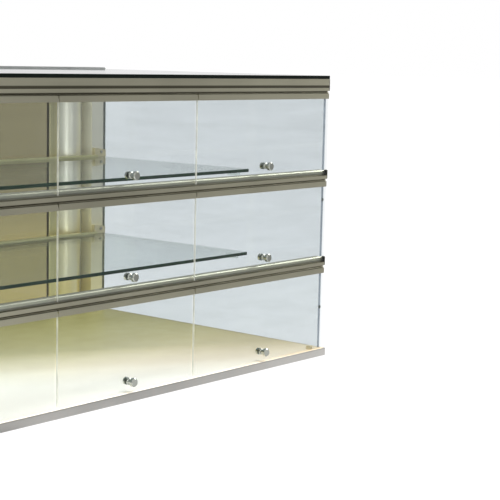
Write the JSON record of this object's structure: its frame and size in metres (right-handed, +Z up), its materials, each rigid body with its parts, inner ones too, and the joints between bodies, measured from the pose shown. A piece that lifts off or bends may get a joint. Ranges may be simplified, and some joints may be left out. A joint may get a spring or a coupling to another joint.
{
  "type": "countertop bread display bin",
  "caption": "Three-tier glass countertop case with lift-up glass flaps in front on aluminium rails, glass shelves inside and two sliding glass panels at the rear.",
  "frame": {"origin": "bottom centre of the whole part, on the counter plane", "axes": "+X across the front to the customer's right, +Y from the front to the rear, +Z up"},
  "size_m": [1.008, 0.6236, 0.51],
  "materials": {
    "clear_glass": "clear float glass with green edges",
    "bronze_glass": "bronze tinted float glass",
    "satin_aluminium": "satin anodised extrusion",
    "champagne_aluminium": "champagne anodised extrusion",
    "polished_chrome": "polished plating",
    "cream_laminate": "gloss cream laminate",
    "dark_plastic": "moulded, fine grain",
    "clear_plastic": "clear acrylic",
    "grey_rubber": "soft grey",
    "beige_plastic": "moulded beige",
    "plated_steel": "zinc plated"
  },
  "bodies": {
    "case": {"base_board": "cream_laminate", "base_edge_front": "satin_aluminium", "base_edge_left": "satin_aluminium", "base_edge_rear": "satin_aluminium", "base_edge_right": "satin_aluminium", "bracket_screws": "plated_steel", "door_bumpers": "grey_rubber", "door_stops": "beige_plastic", "header_end_caps": "dark_plastic", "rail_end_caps": "dark_plastic", "rail_lower": "satin_aluminium", "rail_middle": "satin_aluminium", "rail_upper": "satin_aluminium", "rear_header": "satin_aluminium", "rear_post_left": "satin_aluminium", "rear_post_right": "satin_aluminium", "rear_sill": "champagne_aluminium", "shelf_bar_brackets": "satin_aluminium", "shelf_bar_lower": "satin_aluminium", "shelf_bar_middle": "satin_aluminium", "shelf_lower": "clear_glass", "shelf_middle": "clear_glass", "shelf_rests": "clear_plastic", "side_glass_left": "clear_glass", "side_glass_right": "clear_glass", "top_glass": "clear_glass"},
    "flap_lower_left": {"door_glass_lower_left": "clear_glass", "door_hinge_lower_left": "satin_aluminium", "door_knob_lower_left": "polished_chrome"},
    "flap_lower_centre": {"door_glass_lower_centre": "clear_glass", "door_hinge_lower_centre": "satin_aluminium", "door_knob_lower_centre": "polished_chrome"},
    "flap_lower_right": {"door_glass_lower_right": "clear_glass", "door_hinge_lower_right": "satin_aluminium", "door_knob_lower_right": "polished_chrome"},
    "flap_middle_left": {"door_glass_middle_left": "clear_glass", "door_hinge_middle_left": "satin_aluminium", "door_knob_middle_left": "polished_chrome"},
    "flap_middle_centre": {"door_glass_middle_centre": "clear_glass", "door_hinge_middle_centre": "satin_aluminium", "door_knob_middle_centre": "polished_chrome"},
    "flap_middle_right": {"door_glass_middle_right": "clear_glass", "door_hinge_middle_right": "satin_aluminium", "door_knob_middle_right": "polished_chrome"},
    "flap_upper_left": {"door_glass_upper_left": "clear_glass", "door_hinge_upper_left": "satin_aluminium", "door_knob_upper_left": "polished_chrome"},
    "flap_upper_centre": {"door_glass_upper_centre": "clear_glass", "door_hinge_upper_centre": "satin_aluminium", "door_knob_upper_centre": "polished_chrome"},
    "flap_upper_right": {"door_glass_upper_right": "clear_glass", "door_hinge_upper_right": "satin_aluminium", "door_knob_upper_right": "polished_chrome"},
    "panel_left": {"rear_glass_left": "bronze_glass", "rear_pull_stile_left": "champagne_aluminium", "rear_meeting_stile_left": "champagne_aluminium"},
    "panel_right": {"rear_glass_right": "bronze_glass", "rear_pull_stile_right": "champagne_aluminium", "rear_meeting_stile_right": "champagne_aluminium"}
  },
  "joints": [
    {"name": "lift_lower_left", "type": "hinge", "parent": "case", "child": "flap_lower_left", "pos_m": [-0.32525, -0.2955, 0.162], "axis": [-1, 0, 0], "range_deg": [0, 90]},
    {"name": "lift_lower_centre", "type": "hinge", "parent": "case", "child": "flap_lower_centre", "pos_m": [0, -0.2955, 0.162], "axis": [-1, 0, 0], "range_deg": [0, 90]},
    {"name": "lift_lower_right", "type": "hinge", "parent": "case", "child": "flap_lower_right", "pos_m": [0.32525, -0.2955, 0.162], "axis": [-1, 0, 0], "range_deg": [0, 90]},
    {"name": "lift_middle_left", "type": "hinge", "parent": "case", "child": "flap_middle_left", "pos_m": [-0.32525, -0.2955, 0.319], "axis": [-1, 0, 0], "range_deg": [0, 90]},
    {"name": "lift_middle_centre", "type": "hinge", "parent": "case", "child": "flap_middle_centre", "pos_m": [0, -0.2955, 0.319], "axis": [-1, 0, 0], "range_deg": [0, 90]},
    {"name": "lift_middle_right", "type": "hinge", "parent": "case", "child": "flap_middle_right", "pos_m": [0.32525, -0.2955, 0.319], "axis": [-1, 0, 0], "range_deg": [0, 90]},
    {"name": "lift_upper_left", "type": "hinge", "parent": "case", "child": "flap_upper_left", "pos_m": [-0.32525, -0.2955, 0.476], "axis": [-1, 0, 0], "range_deg": [0, 90]},
    {"name": "lift_upper_centre", "type": "hinge", "parent": "case", "child": "flap_upper_centre", "pos_m": [0, -0.2955, 0.476], "axis": [-1, 0, 0], "range_deg": [0, 90]},
    {"name": "lift_upper_right", "type": "hinge", "parent": "case", "child": "flap_upper_right", "pos_m": [0.32525, -0.2955, 0.476], "axis": [-1, 0, 0], "range_deg": [0, 90]},
    {"name": "slide_panel_left", "type": "slide", "parent": "case", "child": "panel_left", "axis": [1, 0, 0], "range_m": [0, 0.385]},
    {"name": "slide_panel_right", "type": "slide", "parent": "case", "child": "panel_right", "axis": [-1, 0, 0], "range_m": [0, 0.385]}
  ]
}
